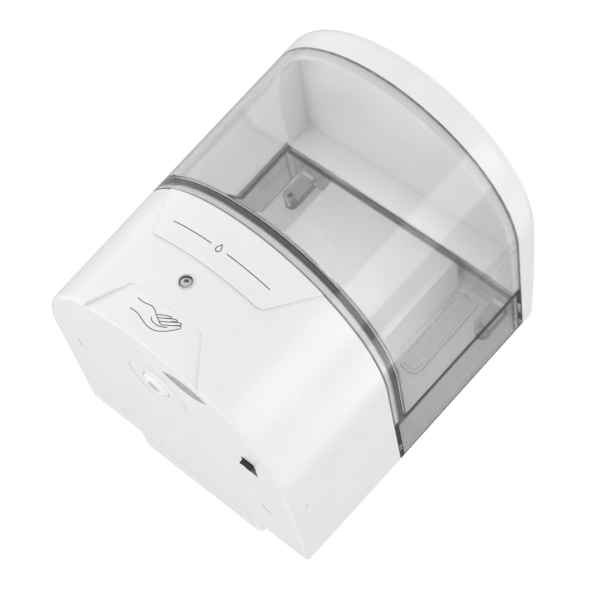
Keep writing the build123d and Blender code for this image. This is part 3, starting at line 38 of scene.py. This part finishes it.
# faces of the tank, in millimetres
TANK_FOOT = -3.9
TANK_TOP = 74.1
TANK_BACK = -13.0
TANK_HALF = 61.27  # half width at z = 0
TANK_TAPER = 1.3 / 78  # growth of the half width with height
FRONT_CENTRE = -75.2  # y of the round front's axis
WALL_FRONT = -42.2
WALL_BACK = -40.0
SHELF_LOW = 71.7

# painted shade: dark lines painted on the tank where its edges and slabs look dark; heights of the floor's
# and the shelf's, depths of the others, in millimetres
FLOOR_SHADE_LINE = (-0.6, 1.2)
SHELF_SHADE_LINE = (67.9, 69.5)
SKIN_DEPTH = 0.6
FLANK_DEPTH = 2.6
CORNER_DEPTH = 4.2
END_DEPTH = 2.2
RIM_DEPTH = 0.3
FOOT_DEPTH = 0.9
WALL_SPARE = 0.4
FLOOR_SHADE_SHARE = 0.6  # share of the floor's painted dark line that scatters light instead of letting it through, so its painted shade shows
FLANK_SHADE_SHARE = 0.38  # how dark the painted shade on the side walls beside the recess is, compared with a line

# painted shade in the crease around the raised panel: its lowest height and its reach; and middle of the
# indicator, in millimetres
CREASE_SHADE_FOOT = -29.0
CREASE_SHADE_REACH = 2.2
LED_Z = -33.0


# ---------------------------------------------------------------- camera

CAMERA_AZIMUTH = 24.6535898
CAMERA_ELEVATION = -16.7370447
CAMERA_ROLL = 42.6808354
CAMERA_PLACE = Vector((0.28967, -0.685708, -0.196131))
CAMERA_LENS = 109.328


def look_direction(azimuth, elevation):
    """Unit vector from the object towards a viewer; azimuth 0 is straight in front."""
    a = math.radians(azimuth)
    e = math.radians(elevation)
    return Vector((math.sin(a) * math.cos(e), -math.cos(a) * math.cos(e), math.sin(e)))


def aimed(place, out, roll=0.0):
    """World matrix of a camera or lamp at place, with its back to out, turned about its own axis."""
    right = (-out).cross(Vector((0, 0, 1))).normalized()
    up = right.cross(-out)
    c = math.cos(math.radians(roll))
    s = math.sin(math.radians(roll))
    matrix = Matrix((right * c + up * s, up * c - right * s, out)).transposed().to_4x4()
    matrix.translation = place
    return matrix


camera_data = bpy.data.cameras.new("camera")
camera_data.sensor_width = 36.0
camera_data.lens = CAMERA_LENS
camera_data.clip_start = 0.01
camera = bpy.data.objects.new("camera", camera_data)
scene.collection.objects.link(camera)
camera.matrix_world = aimed(CAMERA_PLACE, look_direction(CAMERA_AZIMUTH, CAMERA_ELEVATION), CAMERA_ROLL)
scene.camera = camera

scene.view_settings.view_transform = "Standard"


# ---------------------------------------------------------------- node helpers

EDGE_SOFT = 0.15  # half the width over which a mask's edge fades, in millimetres


def maths(tree, operation, first, second):
    """One Math node; second may be a socket or a number."""
    node = tree.nodes.new("ShaderNodeMath")
    node.operation = operation
    tree.links.new(first, node.inputs[0])
    if isinstance(second, (int, float)):
        node.inputs[1].default_value = second
    else:
        tree.links.new(second, node.inputs[1])
    return node.outputs[0]


def product(tree, first, *others):
    """All the values multiplied."""
    for other in others:
        first = maths(tree, "MULTIPLY", first, other)
    return first


def largest(tree, first, *others):
    """The largest of the values."""
    for other in others:
        first = maths(tree, "MAXIMUM", first, other)
    return first


def spread(tree, source, low, high, start=0.3, end=0.7):
    """Maps start to low and end to high; the usual start and end are a noise's darks and lights."""
    ranged = tree.nodes.new("ShaderNodeMapRange")
    ranged.inputs["From Min"].default_value = start
    ranged.inputs["From Max"].default_value = end
    ranged.inputs["To Min"].default_value = low
    ranged.inputs["To Max"].default_value = high
    tree.links.new(source, ranged.inputs["Value"])
    return ranged.outputs["Result"]


def above(tree, source, low, soft=EDGE_SOFT):
    """1 where a length is over low, in millimetres."""
    return spread(tree, source, 0, 1, (low - soft) * MM, (low + soft) * MM)


def below(tree, source, high, soft=EDGE_SOFT):
    """1 where a length is under high, in millimetres."""
    return spread(tree, source, 0, 1, (high + soft) * MM, (high - soft) * MM)


def between(tree, source, low, high, soft=EDGE_SOFT):
    """1 where a length lies between low and high, in millimetres."""
    return product(tree, above(tree, source, low, soft), below(tree, source, high, soft))


def object_axes(tree):
    """The sockets of x, y and z in the object's own frame."""
    place = tree.nodes.new("ShaderNodeTexCoord")
    axes = tree.nodes.new("ShaderNodeSeparateXYZ")
    tree.links.new(place.outputs["Object"], axes.inputs[0])
    return axes.outputs


def noise(tree, scale):
    """Noise in object metres, so a scale of 1000 gives grains of about a millimetre."""
    place = tree.nodes.new("ShaderNodeTexCoord")
    texture = tree.nodes.new("ShaderNodeTexNoise")
    texture.inputs["Scale"].default_value = scale
    texture.inputs["Detail"].default_value = 3.0
    tree.links.new(place.outputs["Object"], texture.inputs["Vector"])
    return texture.outputs["Fac"]


# ---------------------------------------------------------------- light

CENTRE = Vector((0, -0.07, 0.015))  # what the lamps and cards face
FILL_PLACE = Vector((0, -0.110, 0.014))  # inside the tank
WORLD_LIGHT = 0.92


def softbox(name, azimuth, elevation, width, height, radiance, distance=1.2):
    """A rectangular lamp facing the object, kept out of reflections and of what shows through the tank."""
    data = bpy.data.lights.new(name, "AREA")
    data.shape = "RECTANGLE"
    data.size = width
    data.size_y = height
    data.energy = radiance * width * height * math.pi
    lamp = bpy.data.objects.new(name, data)
    scene.collection.objects.link(lamp)
    out = look_direction(azimuth, elevation)
    lamp.matrix_world = aimed(CENTRE + out * distance, out)
    lamp.visible_camera = False
    lamp.visible_glossy = False
    lamp.visible_transmission = False
    return lamp


softbox("softbox_right", 72, -4, 0.62, 0.40, radiance=1.9)
softbox("softbox_rear_right", 118, 0, 0.70, 0.40, radiance=1.2)
softbox("softbox_left", -80, -8, 1.10, 0.40, radiance=0.9)
softbox("softbox_front", -14, -8, 0.60, 0.40, radiance=0.9)
softbox("softbox_low", -54, -60, 0.40, 0.40, radiance=3.0, distance=0.85)

# light that reaches the inside of the clear tank: up to the lid, and back to the battery case
for name, tilt, angle, radiance in (("lid_fill", -78, 120, 1.05), ("case_fill", -12, 85, 1.3)):
    fill = softbox(name, 0, tilt, 0.08, 0.05, radiance)
    fill.data.spread = math.radians(angle)
    fill.matrix_world = aimed(FILL_PLACE, look_direction(0, tilt))


def card(name, azimuth, elevation, width, height, tone, fade, distance=1.6):
    """A card of the studio that only reflections show, fading into the white around it."""
    w = width / 2
    h = height / 2
    mesh = bpy.data.meshes.new(name)
    mesh.from_pydata([(-w, -h, 0), (w, -h, 0), (w, h, 0), (-w, h, 0)], [], [(0, 1, 2, 3)])
    material = bpy.data.materials.new(name)
    material.use_nodes = True
    material.cycles.emission_sampling = "NONE"
    tree = material.node_tree
    tree.nodes.clear()
    x, y, z = object_axes(tree)
    soft = fade / 2 / MM
    across = between(tree, x, -w / MM + soft, w / MM - soft, soft)
    along = between(tree, y, -h / MM + soft, h / MM - soft, soft)
    level = spread(tree, product(tree, across, along), 1.0, tone, 0, 1)
    glow = tree.nodes.new("ShaderNodeEmission")
    tree.links.new(level, glow.inputs["Strength"])
    result = tree.nodes.new("ShaderNodeOutputMaterial")
    tree.links.new(glow.outputs[0], result.inputs["Surface"])
    mesh.materials.append(material)
    piece = bpy.data.objects.new(name, mesh)
    scene.collection.objects.link(piece)
    out = look_direction(azimuth, elevation)
    piece.matrix_world = aimed(CENTRE + out * distance, out)
    piece.visible_camera = False
    piece.visible_diffuse = False
    piece.visible_transmission = False
    piece.visible_shadow = False


card("card_rear_left", -138, 15, 2.6, 2.2, tone=0.50, fade=0.3)
card("card_rear_right", 157, 15, 0.95, 2.2, tone=0.40, fade=0.1)
card("card_right", 72, 17, 0.92, 0.70, tone=3.2, fade=0.10)
card("card_far_right", 118, 15.6, 1.0, 0.26, tone=3.4, fade=0.12)

# white to look at, directly, in reflections and through the tank
world = bpy.data.worlds.new("studio")
scene.world = world
world.use_nodes = True
tree = world.node_tree
tree.nodes.clear()
path = tree.nodes.new("ShaderNodeLightPath").outputs
seen = largest(tree, path["Is Camera Ray"], path["Is Glossy Ray"], path["Is Transmission Ray"])
background = tree.nodes.new("ShaderNodeBackground")
background.inputs["Color"].default_value = (1, 1, 1, 1)
tree.links.new(spread(tree, seen, WORLD_LIGHT, 1.0, 0, 1), background.inputs["Strength"])
surroundings = tree.nodes.new("ShaderNodeOutputWorld")
tree.links.new(background.outputs[0], surroundings.inputs["Surface"])


# ---------------------------------------------------------------- materials

MIX_FIRST, MIX_SECOND, MIX_RESULT = 6, 7, 2  # the colour sockets of a Mix node
TONE_SCALE = 60.0
GLOSS_SCALE = 240.0
TANK_GLOSS_SCALE = 40.0
DOME_SCALE = 500.0
# painted light: the tone of the tank's shelf, paler as if lit from below
PAINTED_SHELF_TONE = (0.9, 0.9, 0.9)


def new_material(name):
    """A material with its tree and its shader."""
    material = bpy.data.materials.new(name)
    material.use_nodes = True
    tree = material.node_tree
    return material, tree, tree.nodes["Principled BSDF"]


def tint(tree, shader, source, first, second):
    """Colours the shader between two tones."""
    mix = tree.nodes.new("ShaderNodeMix")
    mix.data_type = "RGBA"
    mix.inputs[MIX_FIRST].default_value = (*first, 1)
    mix.inputs[MIX_SECOND].default_value = (*second, 1)
    tree.links.new(source, mix.inputs[0])
    tree.links.new(mix.outputs[MIX_RESULT], shader.inputs["Base Color"])


def overlay(tree, shader, source, tone):
    """Covers the shader's colour with another tone where source is 1."""
    under = shader.inputs["Base Color"].links[0].from_socket
    tint(tree, shader, source, tone, tone)
    mix = shader.inputs["Base Color"].links[0].from_node
    tree.links.new(under, mix.inputs[MIX_FIRST])


def relief(tree, shader, source, height):
    """Raises the surface by a noise value, height in metres."""
    bump = tree.nodes.new("ShaderNodeBump")
    bump.inputs["Strength"].default_value = 1.0
    bump.inputs["Distance"].default_value = height
    tree.links.new(source, bump.inputs["Height"])
    tree.links.new(bump.outputs["Normal"], shader.inputs["Normal"])


def moulded(name, first, second, rough, grain=900.0, depth=0.000001, metallic=0.0, coat=0.0):
    """Moulded plastic, rubber or metal: two close tones, an uneven gloss and, with a depth, a fine skin."""
    material, tree, shader = new_material(name)
    shader.inputs["Metallic"].default_value = metallic
    shader.inputs["Coat Weight"].default_value = coat
    tint(tree, shader, spread(tree, noise(tree, TONE_SCALE), 0, 1), first, second)
    gloss = spread(tree, noise(tree, GLOSS_SCALE), rough * 0.85, rough * 1.15)
    tree.links.new(gloss, shader.inputs["Roughness"])
    if depth:
        relief(tree, shader, noise(tree, grain), depth)
    return material


def shell_plastic(name, first, second, crease_shade, rough):
    """The glossy white housing, with painted shade darkening the groove around its raised panel, found by
    ambient occlusion.
    """
    material = moulded(name, first, second, rough, depth=0)
    tree = material.node_tree
    shader = tree.nodes["Principled BSDF"]
    x, y, z = object_axes(tree)
    around = tree.nodes.new("ShaderNodeAmbientOcclusion")
    around.only_local = True
    around.samples = 12
    around.inputs["Distance"].default_value = CREASE_SHADE_REACH * MM
    # painted shade: the colour darkens where ambient occlusion finds the groove around the raised panel
    depth = spread(tree, around.outputs["AO"], 0, 1, 0.96, 0.50)
    overlay(tree, shader, product(tree, depth, between(tree, z, CREASE_SHADE_FOOT, TANK_FOOT)), crease_shade)
    return material


def lamp_dome(name):
    """The indicator's dome, drawn opaque: a pale tone that partly stands for its glints, a dark die, and a
    crescent of painted shade on one side where the clear dome looks dark.
    """
    material, tree, shader = new_material(name)
    x, y, z = object_axes(tree)
    up = maths(tree, "SUBTRACT", z, LED_Z * MM)
    # distance along the direction in which the painted shade side lies, and across it
    lean_up, lean_side = 0.75, 0.66
    along = maths(tree, "SUBTRACT", product(tree, up, lean_up), product(tree, x, lean_side))
    across = maths(tree, "ADD", product(tree, up, lean_side), product(tree, x, lean_up))
    # painted shade: a dark crescent on one side of the dome
    shaded_side = above(tree, along, 0.95, 0.1)
    die = product(tree, between(tree, along, -0.75, 0.5, 0.2), between(tree, across, -0.6, 1.3, 0.3))
    grain = spread(tree, noise(tree, DOME_SCALE), 0.0, 0.2)
    tint(tree, shader, largest(tree, shaded_side, die, grain), (0.58, 0.58, 0.59), (0.02, 0.02, 0.022))
    shader.inputs["Coat Weight"].default_value = 1.0
    tree.links.new(spread(tree, noise(tree, GLOSS_SCALE), 0.05, 0.09), shader.inputs["Roughness"])
    return material


def tank_painted_shade(tree):
    """Three masks. The first is 1 where dark lines of painted shade go on the tank's skin: where it runs
    into one of its inner slabs or ends in an edge, which look dark because the light crosses much plastic
    there: floor, back wall, shelf, rear edges, rim and foot, and fainter on the side walls beside the
    recess. The second is the floor's line alone. The third is 1 on the shelf, which is painted paler as
    painted light from below."""
    x, y, z = object_axes(tree)
    # how far a point lies inside the outer face of the tapered sides and the round front
    ahead = maths(tree, "MINIMUM", maths(tree, "SUBTRACT", y, FRONT_CENTRE * MM), 0)
    square = maths(tree, "ADD", product(tree, x, x), product(tree, ahead, ahead))
    reach = maths(tree, "ADD", product(tree, z, TANK_TAPER), TANK_HALF * MM)
    inward = maths(tree, "SUBTRACT", reach, maths(tree, "SQRT", square, 0))

    skin = below(tree, inward, SKIN_DEPTH)
    front = below(tree, y, WALL_FRONT)
    floor = product(tree, front, skin, between(tree, z, *FLOOR_SHADE_LINE))
    wall = between(tree, y, WALL_FRONT - WALL_SPARE, WALL_BACK + WALL_SPARE)
    left = product(tree, below(tree, inward, CORNER_DEPTH), below(tree, x, 0))
    right = product(tree, skin, between(tree, y, WALL_FRONT, WALL_BACK))
    top = between(tree, z, *SHELF_SHADE_LINE)
    corner = product(tree, wall, largest(tree, left, top))
    shelf = product(tree, skin, top, above(tree, y, WALL_FRONT))
    ends = product(tree, skin, above(tree, y, TANK_BACK - END_DEPTH))
    rim = product(tree, front, above(tree, z, TANK_TOP - RIM_DEPTH, 0.1))
    foot = between(tree, z, TANK_FOOT - 1, TANK_FOOT + FOOT_DEPTH, 0.1)
    flanks = product(tree, below(tree, inward, FLANK_DEPTH), above(tree, y, WALL_BACK), FLANK_SHADE_SHARE)
    painted_dark_lines = largest(tree, floor, corner, right, shelf, ends, rim, foot, flanks)

    # painted light: the shelf, between the back wall and the rear edge, is drawn paler
    slab = product(tree, above(tree, inward, FLANK_DEPTH), between(tree, z, SHELF_LOW, TANK_TOP + 1))
    shelf_light_mask = product(tree, slab, between(tree, y, WALL_BACK, TANK_BACK - 0.5))
    return painted_dark_lines, floor, shelf_light_mask


def clear_plastic(name, tone, painted_edge_shade, absorb_colour, density, rough):
    """Clear tinted plastic: smooth, with an uneven gloss, painted shade in dark lines along its edges and
    slabs, a shelf painted paler, and darker the more of it the light crosses. What it lights or shades
    behind it gets the light straight through."""
    material, tree, shader = new_material(name)
    painted_dark_lines, floor, shelf_light_mask = tank_painted_shade(tree)
    # painted shade: the dark lines tinted into the colour by position
    tint(tree, shader, painted_dark_lines, tone, painted_edge_shade)
    # painted light: the shelf drawn paler, as if lit from below
    overlay(tree, shader, shelf_light_mask, PAINTED_SHELF_TONE)
    # the floor's painted dark line lets less light through, so its painted shade shows
    tree.links.new(spread(tree, floor, 1, 1 - FLOOR_SHADE_SHARE, 0, 1), shader.inputs["Transmission Weight"])
    shader.inputs["IOR"].default_value = 1.49
    gloss = spread(tree, noise(tree, TANK_GLOSS_SCALE), rough * 0.8, rough * 1.2)
    tree.links.new(gloss, shader.inputs["Roughness"])
    path = tree.nodes.new("ShaderNodeLightPath").outputs
    lit = largest(tree, path["Is Shadow Ray"], path["Is Diffuse Ray"])
    let_through = tree.nodes.new("ShaderNodeBsdfTransparent")
    surface = tree.nodes.new("ShaderNodeMixShader")
    tree.links.new(lit, surface.inputs[0])
    tree.links.new(shader.outputs["BSDF"], surface.inputs[1])
    tree.links.new(let_through.outputs["BSDF"], surface.inputs[2])
    inside = tree.nodes.new("ShaderNodeVolumeAbsorption")
    inside.inputs["Color"].default_value = (*absorb_colour, 1)
    inside.inputs["Density"].default_value = density
    result = tree.nodes["Material Output"]
    tree.links.new(surface.outputs["Shader"], result.inputs["Surface"])
    tree.links.new(inside.outputs["Volume"], result.inputs["Volume"])
    return material


LOOKS = {
    # the housing's second tone is the painted shade of the groove around the raised panel
    "white_shell": shell_plastic(
        "white_shell", (0.80, 0.80, 0.805), (0.825, 0.825, 0.828), crease_shade=(0.54, 0.54, 0.545), rough=0.22),
    "white_part": moulded("white_part", (0.84, 0.84, 0.835), (0.86, 0.86, 0.85), 0.35, depth=0),
    # the tank's second tone is the painted shade of its dark lines
    "clear_tank": clear_plastic(
        "clear_tank", (0.78, 0.783, 0.786), (0.14, 0.14, 0.142),
        absorb_colour=(0.30, 0.305, 0.31), density=10.0, rough=0.03),
    "led_lens": lamp_dome("led_lens"),
    "dark_lens": moulded("dark_lens", (0.012, 0.012, 0.016), (0.02, 0.02, 0.024), 0.08, coat=1.0),
    "grey_ring": moulded("grey_ring", (0.60, 0.60, 0.61), (0.66, 0.66, 0.67), 0.35),
    "smoke_window": moulded("smoke_window", (0.25, 0.25, 0.255), (0.29, 0.29, 0.295), 0.12, coat=0.5),
    "black_plastic": moulded(
        "black_plastic", (0.012, 0.012, 0.013), (0.02, 0.02, 0.021), 0.4, depth=0.00001),
    "screw_steel": moulded("screw_steel", (0.60, 0.60, 0.60), (0.68, 0.68, 0.67), 0.34, metallic=1.0),
    "pin_steel": moulded("pin_steel", (0.62, 0.62, 0.62), (0.70, 0.70, 0.70), 0.22, metallic=1.0),
    "cell_jacket": moulded("cell_jacket", (0.05, 0.07, 0.09), (0.08, 0.10, 0.12), 0.34),
    "contact_metal": moulded("contact_metal", (0.66, 0.62, 0.52), (0.74, 0.70, 0.60), 0.34, metallic=1.0),
    "silicone": moulded("silicone", (0.62, 0.63, 0.63), (0.70, 0.70, 0.69), 0.5),
    "pump_plastic": moulded("pump_plastic", (0.10, 0.105, 0.11), (0.14, 0.145, 0.15), 0.4),
    "gear_nylon": moulded("gear_nylon", (0.76, 0.74, 0.66), (0.82, 0.80, 0.72), 0.42),
    "motor_can": moulded("motor_can", (0.55, 0.55, 0.56), (0.64, 0.64, 0.64), 0.34, metallic=1.0),
    "magnet_black": moulded("magnet_black", (0.03, 0.03, 0.032), (0.05, 0.05, 0.052), 0.6, depth=0.00002),
    "rotor_iron": moulded("rotor_iron", (0.30, 0.16, 0.07), (0.40, 0.22, 0.10), 0.35),
    "board_green": moulded("board_green", (0.015, 0.09, 0.04), (0.03, 0.13, 0.06), 0.35),
}

for node in nodes.values():
    slot = node.material_slots[0].material.name.split(".")[0]
    node.material_slots[0].material = LOOKS[slot]


# ---------------------------------------------------------------- printed signs

INK_LIFT = 0.03 * MM
STROKE_END = 0.45  # width of a stroke's tip, compared with its middle
HAND_STROKE = 0.30
LABEL_STROKE = 0.34

shell_surface = BVHTree.FromObject(nodes["base_shell"], bpy.context.evaluated_depsgraph_get())


def on_front(x, z):
    """The point of the housing's front at x, z in millimetres, just proud of the skin."""
    hit = shell_surface.ray_cast(Vector((x * MM, -0.3, z * MM)), Vector((0, 1, 0)))
    return hit[0] + hit[1] * INK_LIFT


def blend(p, q, r, s, t):
    """Value at t between q and r, on a smooth curve through p, q, r and s."""
    bend = 2 * p - 5 * q + 4 * r - s
    turn = 3 * q - p - 3 * r + s
    return 0.5 * (2 * q + (r - p) * t + bend * t * t + turn * t ** 3)


def smooth_line(points, steps=6):
    """Points along a smooth curve through the given ones."""
    ends = [points[0]] + points + [points[-1]]
    line = []
    for a, b, c, d in zip(ends, ends[1:], ends[2:], ends[3:]):
        for i in range(steps):
            line.append(tuple(blend(*values, i / steps) for values in zip(a, b, c, d)))
    line.append(points[-1])
    return line


def printed(name, strokes, width, material):
    """Ink strokes laid on the housing's front, each a ribbon along a smooth line with tapered ends."""
    corners = []
    faces = []
    for stroke in strokes:
        line = smooth_line(stroke)
        first = len(corners)
        for i, (x, z) in enumerate(line):
            back = line[max(i - 1, 0)]
            ahead = line[min(i + 1, len(line) - 1)]
            dx = ahead[0] - back[0]
            dz = ahead[1] - back[1]
            half = width / 2 / max(math.hypot(dx, dz), 1e-6)
            half *= STROKE_END if i in (0, len(line) - 1) else 1.0
            corners.append(on_front(x - dz * half, z + dx * half))
            corners.append(on_front(x + dz * half, z - dx * half))
            if i:
                k = first + 2 * i
                faces.append((k - 2, k - 1, k + 1, k))
    mesh = bpy.data.meshes.new(name)
    mesh.from_pydata(corners, [], faces)
    mesh.materials.append(material)
    piece = bpy.data.objects.new(name, mesh)
    scene.collection.objects.link(piece)
    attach(piece, "unit")


ink = moulded("sign_ink", (0.02, 0.02, 0.022), (0.035, 0.035, 0.037), 0.45)

# open hand, as x and z on the front in millimetres
WRIST_TO_FINGER = [
    (-11.0, -47.3), (-7.6, -47.5), (-4.4, -47.0), (-2.5, -47.3), (-0.6, -48.5), (1.4, -49.5), (3.4, -50.5)]
BACK_OF_HAND = [
    (-10.8, -51.9), (-6.8, -51.9), (-3.4, -52.9), (0.0, -53.7), (3.2, -53.3), (6.2, -51.4), (8.6, -48.9),
    (9.8, -47.3), (9.6, -46.7)]
FINGERS = [
    [(-0.3, -48.4), (2.0, -47.1), (4.0, -46.2), (4.9, -46.1), (4.8, -46.6), (3.2, -47.5)],
    [(0.8, -49.1), (3.6, -47.4), (6.2, -45.9), (7.1, -45.8), (7.1, -46.3), (5.6, -47.3)],
    [(2.2, -49.8), (5.2, -47.9), (8.0, -46.0), (9.0, -45.8), (9.1, -46.4), (7.6, -47.6)],
    [(3.4, -50.5), (6.4, -48.6), (8.8, -46.9), (9.6, -46.7)],
]
THUMB = [(-1.4, -50.1), (-0.6, -51.0), (1.0, -51.4), (3.4, -51.2), (6.0, -49.8)]
printed("hand_sign", [WRIST_TO_FINGER, BACK_OF_HAND, *FINGERS, THUMB], HAND_STROKE, ink)

# a drop between two lines, in the place of a label
LABEL_X = 1.0
LABEL_Z = -16.2
DROP = [(0.0, 1.9), (0.55, 0.85), (1.0, 0.0), (0.95, -0.75), (0.45, -1.3), (0.0, -1.42), (-0.45, -1.3),
        (-0.95, -0.75), (-1.0, 0.0), (-0.55, 0.85), (0.0, 1.9)]
label = [[(x + LABEL_X, z + LABEL_Z) for x, z in DROP]]
for line in ((-22.5, -16.0, -9.0, -2.5), (4.5, 11.0, 18.0, 24.5)):
    label.append([(x, LABEL_Z) for x in line])
printed("label_sign", label, LABEL_STROKE, ink)


# ---------------------------------------------------------------- floor

FLOOR_HALF = 4.0
FLOOR_Z = -1.0

floor_mesh = bpy.data.meshes.new("floor")
floor_mesh.from_pydata(
    [(x * FLOOR_HALF, y * FLOOR_HALF, FLOOR_Z) for x, y in ((-1, -1), (1, -1), (1, 1), (-1, 1))],
    [], [(0, 1, 2, 3)])
floor = bpy.data.objects.new("floor", floor_mesh)
scene.collection.objects.link(floor)
floor_mesh.materials.append(moulded("floor", (0.86, 0.86, 0.86), (0.88, 0.88, 0.88), 0.6, grain=40.0))
